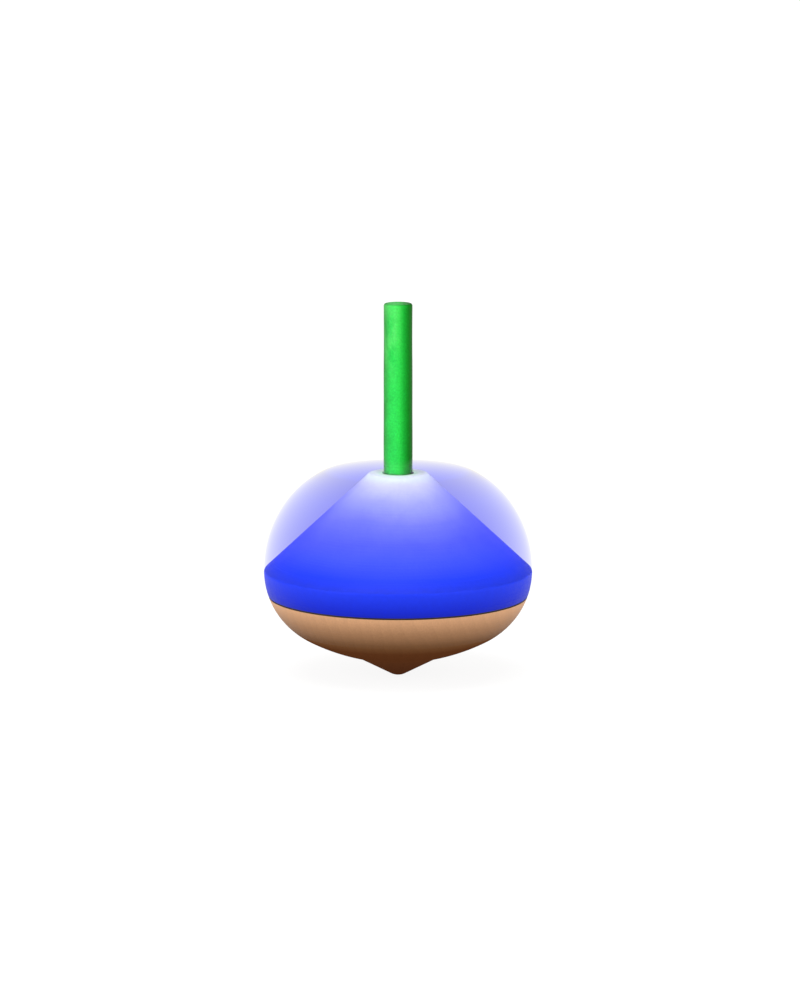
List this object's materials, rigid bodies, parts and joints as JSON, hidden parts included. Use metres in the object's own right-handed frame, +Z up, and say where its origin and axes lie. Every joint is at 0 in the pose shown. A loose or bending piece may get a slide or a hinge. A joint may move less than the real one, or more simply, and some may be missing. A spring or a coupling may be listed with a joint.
{
  "type": "spinning top",
  "caption": "Hand-spun top with a turned wooden bowl, a low turned point, a painted cone under a clear rounded dome, and a slim dowel stem.",
  "frame": {"origin": "the end of the point, where the top touches the floor", "axes": "+Z up the stem along the spin axis; X and Y lie across it, and every piece is turned about Z"},
  "size_m": [0.056, 0.056, 0.0784],
  "materials": {
    "green_stem": "glossy green paint over a wooden dowel",
    "blue_cone": "blue lacquer on wood, deep at the band and fading to white at the top of the cone",
    "bowl_wood": "bare turned wood with a thin satin finish, lightest below the band and browner downwards",
    "point_wood": "dark brown turned wood with a thin satin finish",
    "clear_dome": "hazy see-through plastic with a pale blue tint"
  },
  "bodies": {
    "pivot": {"point": "point_wood"},
    "top": {"base": "bowl_wood", "cone_body": "blue_cone", "dome": "clear_dome", "stem": "green_stem"}
  },
  "joints": [
    {"name": "spin", "type": "hinge", "parent": "pivot", "child": "top", "pos_m": [0, 0, 0], "axis": [0, 0, 1], "continuous": true}
  ]
}
